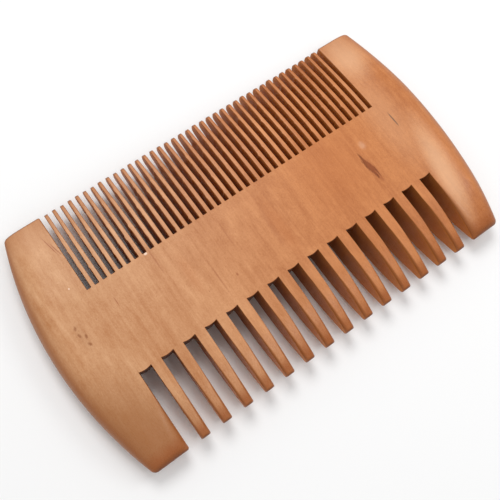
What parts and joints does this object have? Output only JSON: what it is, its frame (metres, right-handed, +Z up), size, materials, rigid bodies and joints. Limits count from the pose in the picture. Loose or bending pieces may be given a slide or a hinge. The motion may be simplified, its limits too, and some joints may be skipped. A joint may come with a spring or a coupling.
{
  "type": "beard comb",
  "caption": "Flat double-sided wooden beard comb, with a fine row and a coarse row of teeth, curved end guards and thinned tips.",
  "frame": {"origin": "under the middle of the comb's outline, on the surface that it lies on", "axes": "+X along the comb from one end guard to the other, +Y towards the tips of the fine teeth, +Z up through the comb's thickness"},
  "size_m": [0.105, 0.06, 0.0082],
  "materials": {
    "spine_wood": "satin",
    "guard_wood": "satin",
    "tooth_wood": "satin"
  },
  "bodies": {
    "root": {"spine": "spine_wood", "left_guard": "guard_wood", "right_guard": "guard_wood", "fine_tooth_01": "tooth_wood", "fine_tooth_02": "tooth_wood", "fine_tooth_03": "tooth_wood", "fine_tooth_04": "tooth_wood", "fine_tooth_05": "tooth_wood", "fine_tooth_06": "tooth_wood", "fine_tooth_07": "tooth_wood", "fine_tooth_08": "tooth_wood", "fine_tooth_09": "tooth_wood", "fine_tooth_10": "tooth_wood", "fine_tooth_11": "tooth_wood", "fine_tooth_12": "tooth_wood", "fine_tooth_13": "tooth_wood", "fine_tooth_14": "tooth_wood", "fine_tooth_15": "tooth_wood", "fine_tooth_16": "tooth_wood", "fine_tooth_17": "tooth_wood", "fine_tooth_18": "tooth_wood", "fine_tooth_19": "tooth_wood", "fine_tooth_20": "tooth_wood", "fine_tooth_21": "tooth_wood", "fine_tooth_22": "tooth_wood", "fine_tooth_23": "tooth_wood", "fine_tooth_24": "tooth_wood", "fine_tooth_25": "tooth_wood", "fine_tooth_26": "tooth_wood", "fine_tooth_27": "tooth_wood", "fine_tooth_28": "tooth_wood", "fine_tooth_29": "tooth_wood", "fine_tooth_30": "tooth_wood", "fine_tooth_31": "tooth_wood", "fine_tooth_32": "tooth_wood", "fine_tooth_33": "tooth_wood", "fine_tooth_34": "tooth_wood", "fine_tooth_35": "tooth_wood", "fine_tooth_36": "tooth_wood", "fine_tooth_37": "tooth_wood", "fine_tooth_38": "tooth_wood", "fine_tooth_39": "tooth_wood", "coarse_tooth_01": "tooth_wood", "coarse_tooth_02": "tooth_wood", "coarse_tooth_03": "tooth_wood", "coarse_tooth_04": "tooth_wood", "coarse_tooth_05": "tooth_wood", "coarse_tooth_06": "tooth_wood", "coarse_tooth_07": "tooth_wood", "coarse_tooth_08": "tooth_wood", "coarse_tooth_09": "tooth_wood", "coarse_tooth_10": "tooth_wood", "coarse_tooth_11": "tooth_wood", "coarse_tooth_12": "tooth_wood", "coarse_tooth_13": "tooth_wood", "coarse_tooth_14": "tooth_wood"}
  },
  "joints": []
}
